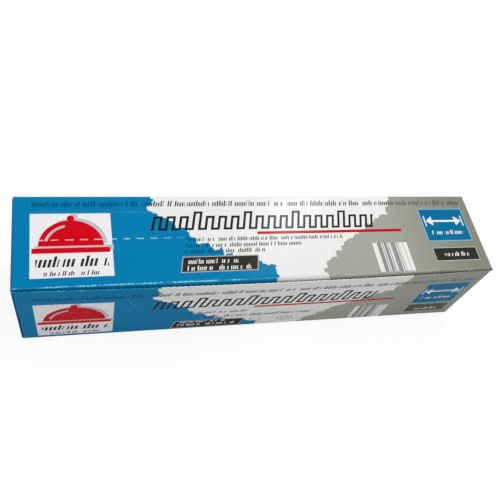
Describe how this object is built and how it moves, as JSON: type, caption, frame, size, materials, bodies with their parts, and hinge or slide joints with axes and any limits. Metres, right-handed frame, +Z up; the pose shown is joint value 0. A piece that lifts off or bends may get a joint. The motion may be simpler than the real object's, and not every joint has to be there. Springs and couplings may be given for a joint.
{
  "type": "aluminium foil roll carton",
  "caption": "Long square-section board carton holding a catering roll of aluminium foil, closed, with a toothed cut along its front edge.",
  "frame": {"origin": "middle of the foot, on the surface the carton stands on", "axes": "+X along the carton towards its right-hand end, +Y from the front panel to the back panel, +Z up"},
  "size_m": [0.46, 0.0961, 0.096],
  "materials": {
    "printed_board": "solid board, print under a gloss varnish"
  },
  "bodies": {
    "root": {"foil_carton": "printed_board"}
  },
  "joints": []
}
